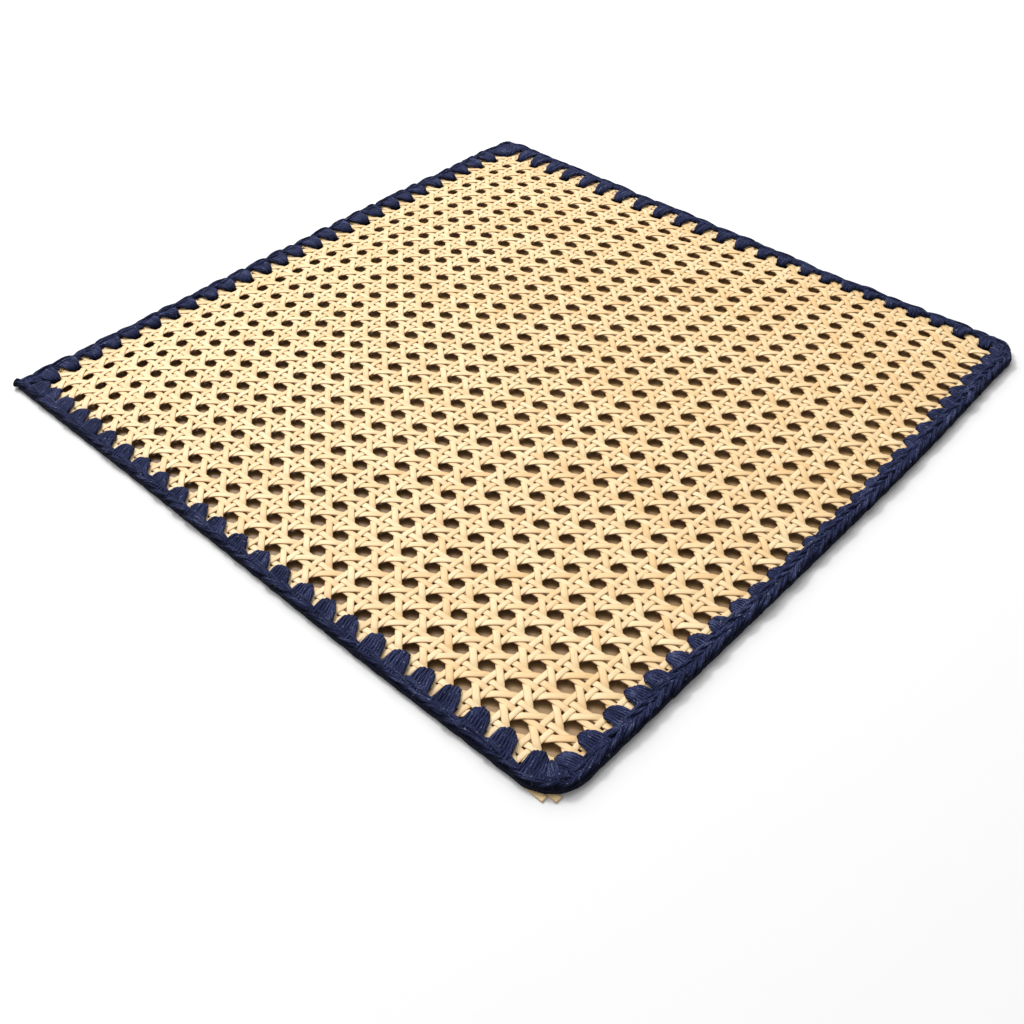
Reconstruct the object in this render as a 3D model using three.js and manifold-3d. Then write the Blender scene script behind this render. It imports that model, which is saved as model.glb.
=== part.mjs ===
// Square table mat of open six-way cane webbing with a crocheted yarn edging.
// Millimetres, +Z up, origin in the middle of the mat on the surface that it lies on.
// X runs along the woven rows, Y across them.
import * as THREE from 'three';
import Module from 'manifold-3d';

// Size of the finished mat and the round of each corner.
const HALF_SIDE = 184;
const CORNER_RADIUS = { near_left: 15, near_right: 13, far_right: 9, far_left: 3 };

// How far each hand-worked edge wanders outwards, at five places along it.
const WANDER_AT = [-160, -80, 0, 80, 160];
const WANDER = {
  near: [0.35, 0.75, 1.15, 0.75, -1.75],
  right: [1.4, -1.2, -0.4, -0.4, 0],
  far: [-1.45, -0.45, 0.65, 1.15, 0.55],
  left: [0.5, 1.4, 1.0, 0.7, 1.0],
};

// Heights of the layers: yarn under the cane, the cane sheet, yarn over it.
const PANEL_LOW = 1.7;
const PANEL_TOP = 3.9;
const GAP = 0.3;

// Eyes of the webbing: first and last row and column, and the size of an eye in pitches.
const ROW = { first: -1, last: 23 };
const COLUMN = { first: -1, last: 26 };
const EYE = { across: 0.27, along: 0.28, corner: 0.42 };
const EYE_RADIUS = { across: 3.5, along: 4.1 };

// Edging, measured inwards from the outline. The cane sheet ends inside the chain.
const CHAIN_WIDTH = 5.5;
const CHAIN_AT = { sole: 1.2, shoulder: 0.2, crest: 2.5, foot: 4.7 };
const PANEL_EDGE = 3.2;
const YARN_THROUGH_EYE = 1.6;
const CLUSTER_TIP_HALF = 2.9;
const CLUSTER_TIP_ROUND = 1.2;
const CLUSTER_LEAST = 1.8;
const HEIGHT = {
  low: PANEL_LOW - GAP, high: PANEL_TOP + GAP, shoulder: 3.9,
  crest: 5.8, dip: 5.3, foot: 5.0, root: 4.8, cluster: 5.6, tip: 5.0,
};

// Ends of the cane that stick out under the near left corner.
const CANE_TIP = { reach: 2.2, half: 1.9, apart: 2.3, notch: 1.2, foot: 4.6 };

// The webbing was pulled a little out of square when it was cut. An eye of the even
// lattice at (x, y), each from -1 to 1, lies here on the mat.
const LATTICE = { columnMiddle: 12.5, columnHalf: 13.5, rowMiddle: 11, rowHalf: 12 };
const PULL_X = { offset: 4.1, reach: 175.6, slant: -2.1, bow: 1.8, lean: -2.1, crowding: -5.5 };
const PULL_Y = {
  offset: 6.65, slant: -0.3, reach: 182.5, crowding: -10.8, farCrowding: -4.8, fan: -3.1, farFan: 2.4,
};

function eyeCentre(row, column) {
  const x = (column - LATTICE.columnMiddle) / LATTICE.columnHalf;
  const y = (row - LATTICE.rowMiddle) / LATTICE.rowHalf;
  const px = PULL_X.offset + PULL_X.reach * x + PULL_X.slant * y + PULL_X.bow * y ** 2
    + PULL_X.lean * x ** 4 + PULL_X.crowding * x ** 5;
  const py = PULL_Y.offset + PULL_Y.slant * x + PULL_Y.reach * y + PULL_Y.crowding * y ** 3
    + PULL_Y.farCrowding * y ** 4 + PULL_Y.fan * x ** 2 * y + PULL_Y.farFan * x ** 2 * y ** 2;
  return new THREE.Vector2(px, py);
}

// Smooth curve through the five wander values of an edge.
function wander(edge, along) {
  const values = WANDER[edge];
  const last = WANDER_AT.length - 1;
  const step = (along - WANDER_AT[0]) / (WANDER_AT[last] - WANDER_AT[0]) * last;
  const k = Math.min(Math.max(Math.floor(step), 0), last - 1);
  const f = THREE.MathUtils.clamp(step - k, 0, 1);
  const before = values[Math.max(k - 1, 0)];
  const after = values[Math.min(k + 2, last)];
  const slopeStart = (values[k + 1] - before) / 2;
  const slopeEnd = (after - values[k]) / 2;
  const rise = values[k + 1] - values[k];
  return values[k] + slopeStart * f + (3 * rise - 2 * slopeStart - slopeEnd) * f * f
    + (slopeStart + slopeEnd - 2 * rise) * f * f * f;
}

// The four sides, walked anticlockwise from the near left corner.
const SIDES = [
  { edge: 'near', along: [1, 0], out: [0, -1], from: 'near_left', to: 'near_right' },
  { edge: 'right', along: [0, 1], out: [1, 0], from: 'near_right', to: 'far_right' },
  { edge: 'far', along: [-1, 0], out: [0, 1], from: 'far_right', to: 'far_left' },
  { edge: 'left', along: [0, -1], out: [-1, 0], from: 'far_left', to: 'near_left' },
];

// Outline as a closed dense walk: straight wandering sides and round corners.
function walkOutline() {
  const points = [];
  const perSide = 180;
  const perCorner = 24;
  SIDES.forEach((side, k) => {
    const along = new THREE.Vector2(...side.along);
    const out = new THREE.Vector2(...side.out);
    const start = -HALF_SIDE + CORNER_RADIUS[side.from];
    const end = HALF_SIDE - CORNER_RADIUS[side.to];
    for (let n = 0; n < perSide; n += 1) {
      const s = start + (end - start) * n / perSide;
      const place = s * (side.along[0] + side.along[1]);
      const reach = HALF_SIDE + wander(side.edge, place);
      points.push(along.clone().multiplyScalar(s).addScaledVector(out, reach));
    }
    const next = SIDES[(k + 1) % SIDES.length];
    const nextOut = new THREE.Vector2(...next.out);
    const radius = CORNER_RADIUS[side.to];
    const endPlace = end * (side.along[0] + side.along[1]);
    const nextStart = (-HALF_SIDE + radius) * (next.along[0] + next.along[1]);
    const reachHere = HALF_SIDE + wander(side.edge, endPlace);
    const reachNext = HALF_SIDE + wander(next.edge, nextStart);
    for (let n = 0; n < perCorner; n += 1) {
      const turn = Math.PI / 2 * n / perCorner;
      points.push(new THREE.Vector2()
        .addScaledVector(out, reachHere - radius + radius * Math.cos(turn))
        .addScaledVector(nextOut, reachNext - radius + radius * Math.sin(turn)));
    }
  });
  return points;
}

const outline = walkOutline();
const walked = [0];
for (let n = 1; n <= outline.length; n += 1) {
  walked.push(walked[n - 1] + outline[n % outline.length].distanceTo(outline[n - 1]));
}
const OUTLINE_LENGTH = walked[outline.length];

// Point of the outline at a walked distance, with its inward direction.
function outlineAt(distance) {
  const d = ((distance % OUTLINE_LENGTH) + OUTLINE_LENGTH) % OUTLINE_LENGTH;
  let low = 0;
  let high = outline.length;
  while (high - low > 1) {
    const middle = (low + high) >> 1;
    if (walked[middle] <= d) low = middle;
    else high = middle;
  }
  const f = (d - walked[low]) / (walked[low + 1] - walked[low]);
  const a = outline[low];
  const b = outline[(low + 1) % outline.length];
  const point = a.clone().lerp(b, f);
  const inward = new THREE.Vector2(-(b.y - a.y), b.x - a.x).normalize();
  return { point, inward };
}

// Walked distance of the outline point that a ray from an eye meets.
function walkedAt(from, out) {
  let best = 0;
  let bestMiss = Infinity;
  for (let n = 0; n < outline.length; n += 1) {
    const away = outline[n].clone().sub(from);
    const miss = Math.abs(away.x * out.y - away.y * out.x);
    if (away.dot(out) > 0 && miss < bestMiss) {
      bestMiss = miss;
      best = walked[n];
    }
  }
  return best;
}

// One stitch cluster for each outer eye and side, and one across each corner.
function listClusters() {
  const clusters = [];
  const add = (row, column, out, radius, corner) => {
    const eye = eyeCentre(row, column);
    const direction = new THREE.Vector2(...out);
    if (corner) direction.multiplyScalar(HALF_SIDE).sub(eye).normalize();
    const at = walkedAt(eye, direction);
    const { point } = outlineAt(at);
    const toRim = point.distanceTo(eye) - radius + YARN_THROUGH_EYE;
    const reach = Math.max(toRim, CHAIN_WIDTH + CLUSTER_LEAST);
    clusters.push({ at, inward: direction.negate(), reach, corner });
  };
  const { across, along } = EYE_RADIUS;
  for (let c = COLUMN.first; c <= COLUMN.last; c += 1) add(ROW.first, c, [0, -1], along, false);
  add(ROW.first, COLUMN.last, [1, -1], across, true);
  for (let r = ROW.first; r <= ROW.last; r += 1) add(r, COLUMN.last, [1, 0], across, false);
  add(ROW.last, COLUMN.last, [1, 1], across, true);
  for (let c = COLUMN.last; c >= COLUMN.first; c -= 1) add(ROW.last, c, [0, 1], along, false);
  add(ROW.last, COLUMN.first, [-1, 1], across, true);
  for (let r = ROW.last; r >= ROW.first; r -= 1) add(r, COLUMN.first, [-1, 0], across, false);
  add(ROW.first, COLUMN.first, [-1, -1], across, true);
  return clusters;
}

const clusters = listClusters();

// Walked distance half way between a cluster and the next one.
function between(k) {
  const here = clusters[k].at;
  const next = clusters[(k + 1) % clusters.length].at;
  const step = ((next - here) % OUTLINE_LENGTH + OUTLINE_LENGTH) % OUTLINE_LENGTH;
  return here + step / 2;
}

// A rail is a closed row of points around the mat. Its points carry the cluster number
// that they belong to, so that two rails can be joined by a strip of triangles.
function rail(places) {
  const row = [];
  clusters.forEach((cluster, k) => places(cluster, k).forEach((place) => row.push(place)));
  return row;
}

function atCluster(cluster, inwards, aside, z, number) {
  const { point } = outlineAt(cluster.at);
  const sideways = new THREE.Vector2(cluster.inward.y, -cluster.inward.x);
  const spot = point.addScaledVector(cluster.inward, inwards).addScaledVector(sideways, aside);
  return { u: number, p: [spot.x, spot.y, z] };
}

function atRoot(k, inwards, z) {
  const { point, inward } = outlineAt(between(k));
  const spot = point.addScaledVector(inward, inwards);
  return { u: k + 0.5, p: [spot.x, spot.y, z] };
}

function isCorner(k) {
  return clusters[(k + clusters.length) % clusters.length].corner;
}

// Two points for each cluster: at its middle and at the root beside it.
function chainRail(inwards, zMiddle, zRoot) {
  return rail((cluster, k) => [
    atCluster(cluster, inwards, 0, zMiddle, k),
    atRoot(k, inwards, zRoot),
  ]);
}

// The same further in, where the roots beside a corner would crowd it.
function innerRail(inwardsOf, inwardsRoot, zMiddle, zRoot) {
  return rail((cluster, k) => {
    const middle = atCluster(cluster, inwardsOf(cluster), 0, zMiddle, k);
    return isCorner(k) || isCorner(k + 1) ? [middle] : [middle, atRoot(k, inwardsRoot, zRoot)];
  });
}

// The scalloped inner edge: a tip in each eye, and a notch where the cane shows. The
// yarn fills the corners, so there the tips of the two sides meet.
function scallopRail(zTip, zRoot, round) {
  return rail((cluster, k) => {
    if (cluster.corner) return [];
    const shoulder = cluster.reach - CLUSTER_TIP_ROUND;
    const before = atCluster(cluster, shoulder, -CLUSTER_TIP_HALF, zTip, k - 0.2);
    const tip = atCluster(cluster, cluster.reach, 0, zTip, k);
    const after = atCluster(cluster, shoulder, CLUSTER_TIP_HALF, zTip, k + 0.2);
    const root = atRoot(k, CHAIN_WIDTH + GAP, zRoot);
    if (isCorner(k - 1)) return [tip, after, root];
    if (isCorner(k + 1)) return [before, tip];
    return round ? [before, tip, after, root] : [before, after, root];
  });
}

// The closed end of the slot that grips the cane.
function slotRail(z) {
  return rail((cluster, k) => {
    const root = atRoot(k, PANEL_EDGE - GAP, z);
    return cluster.corner ? [atCluster(cluster, PANEL_EDGE - GAP, 0, z, k), root] : [root];
  });
}

// Joins closed rails, each to the next and the last to the first, into one ring.
function joinRails(rails) {
  const positions = [];
  const starts = rails.map((row) => {
    const start = positions.length / 3;
    row.forEach((place) => positions.push(...place.p));
    return start;
  });
  const index = [];
  const turnLength = clusters.length;
  const paramAt = (row, n) => row[n % row.length].u + turnLength * Math.floor(n / row.length);
  rails.forEach((row, r) => {
    const other = rails[(r + 1) % rails.length];
    const a0 = starts[r];
    const b0 = starts[(r + 1) % rails.length];
    let a = 0;
    let b = 0;
    while (a < row.length || b < other.length) {
      const aFirst = b >= other.length || paramAt(row, a + 1) <= paramAt(other, b + 1);
      const stepA = a < row.length && aFirst;
      const here = a0 + a % row.length;
      const there = b0 + b % other.length;
      if (stepA) {
        a += 1;
        index.push(here, a0 + a % row.length, there);
      } else {
        b += 1;
        index.push(here, b0 + b % other.length, there);
      }
    }
  });
  const geometry = new THREE.BufferGeometry();
  geometry.setAttribute('position', new THREE.Float32BufferAttribute(positions, 3));
  geometry.setIndex(index);
  return geometry;
}

// Crocheted edging: a chain around the outline, with a cluster of loops into each outer
// eye, over and under the cane. Its section is a C that grips the edge of the panel.
function edgingGeometry() {
  const halfReach = (cluster) => (cluster.reach + CHAIN_WIDTH) / 2;
  return joinRails([
    chainRail(CHAIN_AT.sole, 0, 0),
    chainRail(0, HEIGHT.low, HEIGHT.low),
    chainRail(CHAIN_AT.shoulder, HEIGHT.high, HEIGHT.shoulder),
    chainRail(CHAIN_AT.crest, HEIGHT.crest, HEIGHT.dip),
    innerRail(() => CHAIN_AT.foot, CHAIN_AT.foot, HEIGHT.foot, HEIGHT.root),
    innerRail(halfReach, CHAIN_WIDTH - GAP, HEIGHT.cluster, HEIGHT.root),
    scallopRail(HEIGHT.tip, HEIGHT.root, true),
    scallopRail(HEIGHT.high, HEIGHT.high, true),
    slotRail(HEIGHT.high),
    slotRail(HEIGHT.low),
    scallopRail(HEIGHT.low, HEIGHT.low, false),
    scallopRail(0, 0, false),
  ]);
}

// Point beside the middle of a cluster, on the side where the walk comes from.
function beside(cluster, sideways, inwards) {
  const aside = new THREE.Vector2(-cluster.inward.y, cluster.inward.x);
  const { point } = outlineAt(cluster.at);
  return point.addScaledVector(aside, sideways).addScaledVector(cluster.inward, inwards);
}

// Outline of the cane sheet under the edging, with the split ends at the near left corner.
function panelOutline() {
  const points = [];
  clusters.forEach((cluster, k) => {
    const { point } = outlineAt(cluster.at);
    const splitEnds = cluster.corner && cluster.inward.x > 0 && cluster.inward.y > 0;
    if (cluster.corner && !splitEnds) {
      points.push(point.clone().addScaledVector(cluster.inward, PANEL_EDGE));
    }
    if (splitEnds) {
      const { reach, half, apart, notch, foot } = CANE_TIP;
      points.push(beside(cluster, apart + half, foot));
      points.push(beside(cluster, apart, -reach));
      points.push(beside(cluster, apart - half, notch));
      points.push(beside(cluster, half - apart, notch));
      points.push(beside(cluster, -apart, -reach));
      points.push(beside(cluster, -apart - half, foot));
    }
    const root = outlineAt(between(k));
    points.push(root.point.addScaledVector(root.inward, PANEL_EDGE));
  });
  return points;
}

// An eight-sided eye between the straight and the slanting strands.
function eyePath(row, column) {
  const { across, along, corner } = EYE;
  const ring = [
    [across, -along * corner], [across, along * corner],
    [across * corner, along], [-across * corner, along],
    [-across, along * corner], [-across, -along * corner],
    [-across * corner, -along], [across * corner, -along],
  ];
  return new THREE.Path(ring.map(([dc, dr]) => eyeCentre(row + dr, column + dc)));
}

// Cane sheet: every second eye in each row, set off from row to row, is cut through.
function panelGeometry() {
  const shape = new THREE.Shape(panelOutline());
  for (let row = ROW.first + 1; row < ROW.last; row += 1) {
    for (let column = COLUMN.first + 1; column < COLUMN.last; column += 1) {
      if ((row + column) % 2 === 0) shape.holes.push(eyePath(row, column));
    }
  }
  const depth = PANEL_TOP - PANEL_LOW;
  const geometry = new THREE.ExtrudeGeometry(shape, { depth, bevelEnabled: false, curveSegments: 1 });
  geometry.translate(0, 0, PANEL_LOW);
  return geometry;
}

// Room for the split ends of the cane to come out of the edging.
function tipRoomGeometry() {
  const corner = clusters[clusters.length - 1];
  const half = CANE_TIP.apart + CANE_TIP.half + 2 * GAP;
  const inner = CANE_TIP.foot + GAP;
  const outer = -CANE_TIP.reach;
  const shape = new THREE.Shape([
    beside(corner, half, inner), beside(corner, half, outer),
    beside(corner, -half, outer), beside(corner, -half, inner),
  ]);
  const depth = PANEL_TOP - PANEL_LOW + 2 * GAP;
  const geometry = new THREE.ExtrudeGeometry(shape, { depth, bevelEnabled: false });
  geometry.translate(0, 0, PANEL_LOW - GAP);
  return geometry;
}

const wasm = await Module();
wasm.setup();

// Merges equal corners, so that a geometry becomes a closed solid.
function toSolid(geometry) {
  const position = geometry.getAttribute('position');
  const index = geometry.getIndex();
  const count = index ? index.count : position.count;
  const seen = new Map();
  const vertices = [];
  const triangles = [];
  for (let n = 0; n < count; n += 1) {
    const v = index ? index.getX(n) : n;
    const p = [position.getX(v), position.getY(v), position.getZ(v)];
    const key = p.map((value) => value.toFixed(4)).join(' ');
    if (!seen.has(key)) {
      seen.set(key, vertices.length / 3);
      vertices.push(...p);
    }
    triangles.push(seen.get(key));
  }
  const mesh = new wasm.Mesh({
    numProp: 3, vertProperties: new Float32Array(vertices), triVerts: new Uint32Array(triangles),
  });
  return new wasm.Manifold(mesh);
}

function toGeometry(solid) {
  const mesh = solid.getMesh();
  const geometry = new THREE.BufferGeometry();
  geometry.setAttribute('position', new THREE.BufferAttribute(new Float32Array(mesh.vertProperties), 3));
  geometry.setIndex(Array.from(mesh.triVerts));
  return geometry;
}

const cane = new THREE.MeshStandardMaterial({ color: 0xe8c68e, roughness: 0.45, metalness: 0 });
const yarn = new THREE.MeshStandardMaterial({ color: 0x262c55, roughness: 0.9, metalness: 0 });

const mat = new THREE.Group();

const panel = new THREE.Mesh(panelGeometry(), cane);
panel.name = 'cane_panel';
mat.add(panel);

const edgingSolid = toSolid(edgingGeometry()).subtract(toSolid(tipRoomGeometry()));
const edging = new THREE.Mesh(toGeometry(edgingSolid), yarn);
edging.name = 'crochet_border';
mat.add(edging);

export default mat;
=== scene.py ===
import math

import bpy
import numpy as np
from mathutils import Matrix, Vector


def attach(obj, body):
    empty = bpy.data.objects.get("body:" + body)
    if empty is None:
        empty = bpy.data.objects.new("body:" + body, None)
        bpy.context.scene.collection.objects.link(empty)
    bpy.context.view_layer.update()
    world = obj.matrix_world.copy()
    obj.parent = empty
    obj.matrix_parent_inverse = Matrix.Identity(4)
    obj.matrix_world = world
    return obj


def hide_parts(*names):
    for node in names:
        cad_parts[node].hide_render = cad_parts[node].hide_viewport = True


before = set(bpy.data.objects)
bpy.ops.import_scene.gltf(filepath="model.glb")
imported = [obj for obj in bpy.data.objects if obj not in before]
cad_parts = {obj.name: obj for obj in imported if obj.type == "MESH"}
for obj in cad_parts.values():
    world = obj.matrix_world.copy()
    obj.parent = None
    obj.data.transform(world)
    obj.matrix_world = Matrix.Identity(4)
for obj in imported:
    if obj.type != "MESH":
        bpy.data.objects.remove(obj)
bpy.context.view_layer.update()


# The upright pairs of the webbing: flat strands split from the outer skin of cane, shiny side up,
# that run away from the near edge two by two. They're woven between the rows and the slanting
# strands, and nothing but the weave and the edging holds them.
MM = 0.001
HALF_SIDE = 184.0
CORNER_RADIUS = {"near_left": 18.5, "near_right": 16.5, "far_right": 9.0, "far_left": 3.0}
# How far each edge wanders outwards, at these places along it.
WANDER_AT = np.array([-160.0, -80.0, 0.0, 80.0, 160.0])
WANDER = {
    "near": [0.35, 0.75, 1.15, 0.75, -1.75],
    "right": [1.4, -1.2, -0.4, -0.4, 0.0],
    "far": [-1.45, -0.45, 0.65, 1.15, 0.55],
    "left": [0.5, 1.4, 1.0, 0.7, 1.0],
}
# The first and the last of the whole eyes, counted to the right and away from the near edge.
COLUMNS = (-1, 26)
ROWS = (-1, 23)
RUN_OUT = 1.2
CUT_INSIDE = 3.4
CUT_VARIES = (-0.4, 0.5)
LEAST_SAMPLES = 6
MIDDLE_HEIGHT = 2.8
HEIGHT_VARIES = 0.05
WIDTH_VARIES = 0.05
STRAND_THICK = 0.5
# The section of a strand, in shares of its width and of its thickness. Its crown is point 2.
SECTION = np.array([[0.5, -0.5], [0.46, 0.15], [0.0, 0.5], [-0.46, 0.15], [-0.5, -0.5]])
CROWN = 2
PAIR_LIFT = 0.26
PAIR_STEP = 1 / 12
WAVE_SHARES = (1.0, 0.55, 0.3)
WAVES_TOGETHER = 1.2
# Slow changes along a strand: by how much, and over how many eyes. It swings by millimetres, and
# widens by a share of its width.
PAIR_SWINGS = (0.16, 5.0)
PAIR_WIDENS = (0.02, 7.0)
UPRIGHT_APART = 1.9
UPRIGHT_WIDTH = 2.95
UPRIGHT_LIFTS_AT = 0.145
UPRIGHT_OFF_MIDDLE = 0.15


def eye_at(column, row):
    """Where the middle of an eye of the webbing lies on the mat, which was cut a little askew."""
    x = (column - sum(COLUMNS) / 2) / ((COLUMNS[1] - COLUMNS[0]) / 2)
    y = (row - sum(ROWS) / 2) / ((ROWS[1] - ROWS[0]) / 2)
    across = 0.8 + 175.3 * x - 3.6 * y - 3.5 * x * y + 4.8 * y**2
    across += -4.6 * x**3 - 1.5 * x * y**2 + 3.2 * x**4 - 4.1 * x**6 + 3.0 * x**3 * y**3 - 2.0 * y**6
    away = 3.2 - 2.5 * x + 184.3 * y - 5.9 * x**2 * y + 2.4 * x * y**2 - 16.2 * y**3
    away += (
        18.5 * x**2 * y**2 + 0.6 * x**2 * y**3 + 3.9 * y**5
        - 6.9 * x**4 * y**2 - 9.0 * x**2 * y**4 - 3.4 * y**6
    )
    near_left = np.exp(-((column - COLUMNS[0]) ** 2 + (row - ROWS[0]) ** 2) / 5.8)
    near_right = np.exp(-(((column - COLUMNS[1]) / 3.5) ** 2) - (row - ROWS[0]) ** 2 / 1.5)
    across = across - 3.0 * near_left
    away = away - 2.2 * near_left
    return across - 1.6 * near_right, away - 1.8 * near_right


def wander(edge, along):
    """How far an edge of the mat wanders outwards at a place along it."""
    values = np.array(WANDER[edge])
    slopes = np.gradient(values)
    slopes[0] = (values[1] - values[0]) / 2
    slopes[-1] = (values[-1] - values[-2]) / 2
    step = (np.asarray(along, float) - WANDER_AT[0]) / (WANDER_AT[1] - WANDER_AT[0])
    k = np.clip(np.floor(step), 0, len(values) - 2).astype(int)
    f = np.clip(step - k, 0, 1)
    rise = values[k + 1] - values[k]
    square = (3 * rise - 2 * slopes[k] - slopes[k + 1]) * f**2
    return values[k] + slopes[k] * f + square + (slopes[k] + slopes[k + 1] - 2 * rise) * f**3


def inside_by(x, y):
    """How far a point of the mat is inside its outline."""
    near = y + HALF_SIDE + wander("near", x)
    right = HALF_SIDE + wander("right", y) - x
    far = HALF_SIDE + wander("far", x) - y
    left = x + HALF_SIDE + wander("left", y)
    found = np.minimum(np.minimum(near, right), np.minimum(far, left))
    corners = {
        "near_left": (near, left),
        "near_right": (near, right),
        "far_right": (far, right),
        "far_left": (far, left),
    }
    for corner, (a, b) in corners.items():
        radius = CORNER_RADIUS[corner]
        rounded = radius - np.hypot(radius - a, radius - b)
        found = np.where((a < radius) & (b < radius), np.minimum(found, rounded), found)
    return found


def waver(rng, place, size, longest):
    """A slow random waver along a strand, of about that size."""
    total = np.zeros_like(place)
    for share in WAVE_SHARES:
        phase = rng.uniform(0, math.tau)
        total += share * np.sin(place * math.tau / (longest * share) + phase)
    return size * total / WAVES_TOGETHER


def unit(vectors):
    """The same directions with a length of one."""
    return vectors / np.linalg.norm(vectors, axis=-1, keepdims=True)


def lengths_along(line):
    """How far each point of a line is from its start, walked along it."""
    return np.concatenate([[0], np.cumsum(np.linalg.norm(np.diff(line, axis=0), axis=1))])


def skin(base, here, after, around):
    """Faces that join rings of points, each ring in one list to the ring in the other."""
    j = np.arange(around)
    k = (j + 1) % around
    here = base + here[:, None] * around
    after = base + after[:, None] * around
    return np.stack([here + j, here + k, after + k, after + j], axis=2).reshape(-1, 4)


def mesh_piece(name, points, faces, groups):
    """One mesh object from points in millimetres and blocks of faces, with point attributes."""
    mesh = bpy.data.meshes.new(name)
    mesh.vertices.add(len(points))
    mesh.vertices.foreach_set("co", np.ascontiguousarray(points * MM, np.float32).ravel())
    corners = np.concatenate([block.ravel() for block in faces]).astype(np.int32)
    sizes = np.concatenate([np.full(len(block), block.shape[1]) for block in faces])
    starts = np.concatenate([[0], np.cumsum(sizes)[:-1]]).astype(np.int32)
    mesh.loops.add(len(corners))
    mesh.loops.foreach_set("vertex_index", corners)
    mesh.polygons.add(len(sizes))
    mesh.polygons.foreach_set("loop_start", starts)
    mesh.polygons.foreach_set("use_smooth", np.ones(len(sizes), bool))
    for group, values in groups.items():
        made = mesh.attributes.new(group, "FLOAT_VECTOR", "POINT")
        made.data.foreach_set("vector", np.ascontiguousarray(values, np.float32).ravel())
    mesh.update(calc_edges=True)
    mesh.validate()
    piece = bpy.data.objects.new(name, mesh)
    bpy.context.scene.collection.objects.link(piece)
    return piece


def trimmed(column, row, cut):
    """The longest run of a strand's samples inside the cut edge, or None if it's only a scrap."""
    x, y = eye_at(column, row)
    kept = np.nonzero(inside_by(x, y) > cut)[0]
    longest = max(np.split(kept, np.nonzero(np.diff(kept) > 1)[0] + 1), key=len)
    return slice(longest[0], longest[-1] + 1) if len(longest) > LEAST_SAMPLES else None


def cane_piece(name, strands):
    """Joined flat strands, domed on top. Each has a middle line, its widths and a tone."""
    points = []
    fibres = []
    quads = []
    caps = []
    base = 0
    around = len(SECTION)
    for line, width, tone in strands:
        count = len(line)
        heading = unit(np.gradient(line[:, :2], axis=0))
        side = np.stack([-heading[:, 1], heading[:, 0]], axis=1)
        ring = np.zeros((count, around, 3))
        ring[:, :, :2] = line[:, None, :2] + side[:, None] * (width[:, None] * SECTION[:, 0])[:, :, None]
        ring[:, :, 2] = line[:, None, 2] + STRAND_THICK * SECTION[:, 1]
        fibre = np.zeros((count, around, 3))
        fibre[:, :, 0] = SECTION[:, 0] * 2
        fibre[:, :, 1] = lengths_along(line)[:, None]
        fibre[:, :, 2] = tone
        points.append(ring.reshape(-1, 3))
        fibres.append(fibre.reshape(-1, 3))
        here = np.arange(count - 1)
        quads.append(skin(base, here, here + 1, around))
        caps.append(base + np.arange(around)[::-1])
        caps.append(base + around * (count - 1) + np.arange(around))
        base += around * count
    faces = [np.concatenate(quads), np.array(caps)]
    piece = mesh_piece(name, np.concatenate(points), faces, {"fibre": np.concatenate(fibres)})
    edges = np.zeros(len(piece.data.edges) * 2, np.int32)
    piece.data.edges.foreach_get("vertices", edges)
    place = edges.reshape(-1, 2) % around
    sharp = (place[:, 0] == place[:, 1]) & (place[:, 0] != CROWN)
    made = piece.data.attributes.new("sharp_edge", "BOOLEAN", "EDGE")
    made.data.foreach_set("value", sharp)
    return piece


def pair_height(place, beside, first_up):
    """Height of one strand of a pair, over one strand of the crossing pair and under the other."""
    step = place - np.floor(place) - 0.5
    scaled = step / beside
    return first_up * PAIR_LIFT * scaled * np.exp((1 - scaled**2) / 2)


def paired(upright, apart, wide, lifts_at, off_middle):
    """The strands of the upright pairs or of the rows, two by two between the eyes."""
    across, along = (COLUMNS, ROWS) if upright else (ROWS, COLUMNS)
    strands = []
    for pair in range(across[0] - 1, across[1] + 1):
        for side in (-1, 1):
            run = np.arange(along[0] - RUN_OUT, along[1] + RUN_OUT, PAIR_STEP)
            still = np.full_like(run, pair + 0.5)
            moved = still + side * off_middle
            cut = CUT_INSIDE + rng.uniform(*CUT_VARIES)
            kept = trimmed(moved, run, cut) if upright else trimmed(run, moved, cut)
            if kept is None:
                continue
            run = run[kept]
            still = still[kept]
            x, y = eye_at(still, run) if upright else eye_at(run, still)
            swing = waver(rng, run, *PAIR_SWINGS)
            if upright:
                x = x + side * apart + swing
            else:
                y = y + side * apart + swing
            height = pair_height(run, lifts_at, -side if upright else side)
            height = height + rng.uniform(-HEIGHT_VARIES, HEIGHT_VARIES)
            varied = 1 + rng.uniform(-WIDTH_VARIES, WIDTH_VARIES) + waver(rng, run, *PAIR_WIDENS)
            line = np.stack([x, y, MIDDLE_HEIGHT + height], axis=1)
            strands.append((line, wide * varied, rng.uniform()))
    return strands


def feed(tree, socket, value):
    """Sets a socket to a number or a colour, or joins it to the output of another node."""
    if isinstance(value, bpy.types.NodeSocket):
        tree.links.new(value, socket)
    elif isinstance(value, tuple):
        socket.default_value = (*value, 1)
    else:
        socket.default_value = value


def worked_out(tree, operation, *values):
    """The result of a sum with one, two or three values."""
    node = tree.nodes.new("ShaderNodeMath")
    node.operation = operation
    for socket, value in zip(node.inputs, values):
        feed(tree, socket, value)
    return node.outputs[0]


def grain(tree, place, scale, detail):
    """Soft random patches from 0 to 1."""
    node = tree.nodes.new("ShaderNodeTexNoise")
    node.inputs["Scale"].default_value = scale
    node.inputs["Detail"].default_value = detail
    tree.links.new(place, node.inputs["Vector"])
    return node.outputs["Fac"]


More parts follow.
